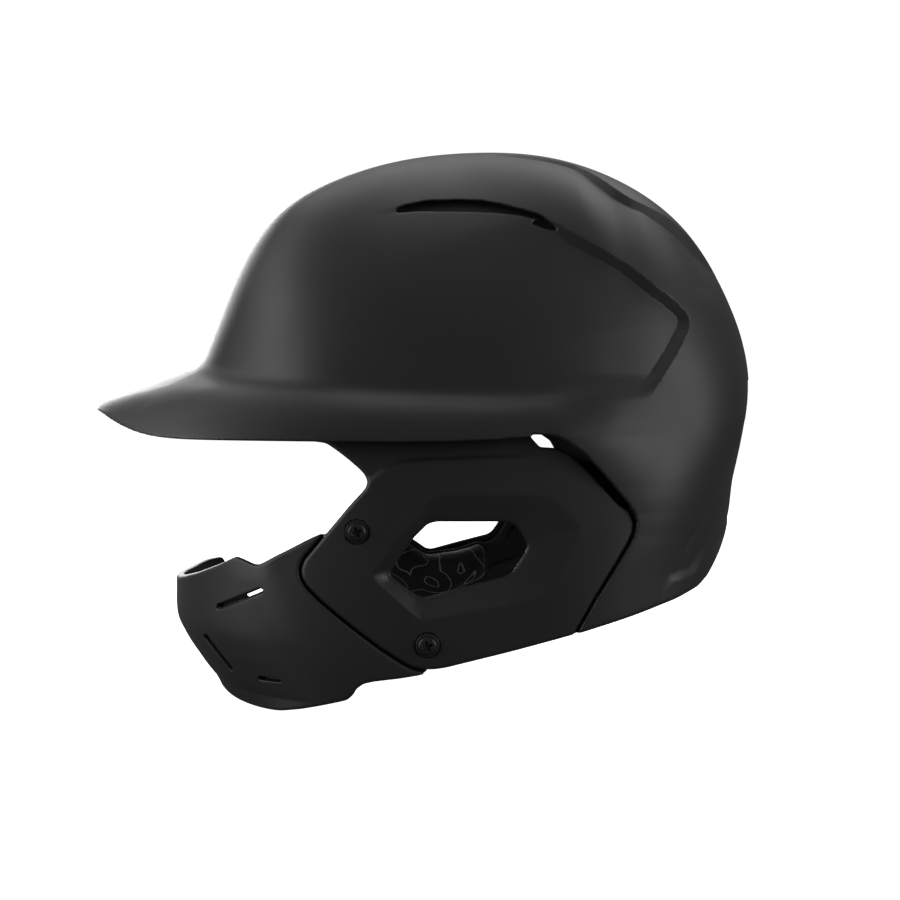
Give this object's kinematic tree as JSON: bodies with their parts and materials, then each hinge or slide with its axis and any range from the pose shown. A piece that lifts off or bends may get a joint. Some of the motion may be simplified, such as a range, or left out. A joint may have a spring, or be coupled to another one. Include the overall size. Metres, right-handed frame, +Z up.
{
  "type": "batting helmet",
  "caption": "Hard-shell batting helmet with brim, two ear flaps, crown vents and a bolted jaw guard on the wearer's left, lined with foam and removable pads.",
  "frame": {"origin": "centre of the bottom of the bounding box, on the helmet's middle plane, level with the jaw guard's lower edge", "axes": "-X forward over the brim, +Z up through the crown, -Y the wearer's left (jaw guard side)"},
  "size_m": [0.2764, 0.2092, 0.2245],
  "materials": {
    "shell_plastic": "satin moulded plastic with a fine spark texture",
    "guard_plastic": "satin moulded plastic",
    "screw_metal": "black oxide, semi-gloss",
    "washer_metal": "black zinc",
    "nut_metal": "zinc plated",
    "liner_foam": "closed-cell foam with moulded skin",
    "pad_fabric": "printed knit with thin pale contour lines",
    "base_foam": "dense foam sheet",
    "hook_fabric": "hook-and-loop tape"
  },
  "bodies": {
    "helmet": {"shell": "shell_plastic", "jaw_guard": "guard_plastic", "upper_tee_nut": "nut_metal", "lower_tee_nut": "nut_metal", "front_liner": "liner_foam", "crown_liner": "liner_foam", "rear_liner": "liner_foam", "left_liner": "liner_foam", "right_liner": "liner_foam", "brow_pad": "pad_fabric", "crown_pad": "pad_fabric", "rear_pad": "pad_fabric", "left_temple_pad": "pad_fabric", "right_temple_pad": "pad_fabric", "left_mastoid_pad": "pad_fabric", "right_mastoid_pad": "pad_fabric", "left_ear_pad_base": "base_foam", "right_ear_pad_base": "base_foam", "pad_hook_discs": "hook_fabric"},
    "upper_washer": {"upper_screw_washer": "washer_metal"},
    "upper_screw": {"upper_guard_screw": "screw_metal"},
    "lower_washer": {"lower_screw_washer": "washer_metal"},
    "lower_screw": {"lower_guard_screw": "screw_metal"},
    "left_ear_cushion": {"left_ear_pad": "pad_fabric"},
    "right_ear_cushion": {"right_ear_pad": "pad_fabric"}
  },
  "joints": [
    {"name": "upper_screw_turn", "type": "hinge", "parent": "helmet", "child": "upper_washer", "pos_m": [-0.02082, -0.097, 0.0689], "axis": [0, -1, 0], "range_deg": [0, 1980]},
    {"name": "upper_screw_travel", "type": "slide", "parent": "upper_washer", "child": "upper_screw", "axis": [0, -1, 0], "range_m": [0, 0.00386]},
    {"name": "lower_screw_turn", "type": "hinge", "parent": "helmet", "child": "lower_washer", "pos_m": [0.00478, -0.097, 0.0283], "axis": [0, -1, 0], "range_deg": [0, 1980]},
    {"name": "lower_screw_travel", "type": "slide", "parent": "lower_washer", "child": "lower_screw", "axis": [0, -1, 0], "range_m": [0, 0.00386]},
    {"name": "left_ear_pad_pull", "type": "slide", "parent": "helmet", "child": "left_ear_cushion", "axis": [0, 1, 0], "range_m": [0, 0.03]},
    {"name": "right_ear_pad_pull", "type": "slide", "parent": "helmet", "child": "right_ear_cushion", "axis": [0, -1, 0], "range_m": [0, 0.03]}
  ],
  "couplings": [
    {"joint": "upper_screw_travel", "follows": "upper_screw_turn", "m_per_rad": 0.00011141},
    {"joint": "lower_screw_travel", "follows": "lower_screw_turn", "m_per_rad": 0.00011141}
  ]
}
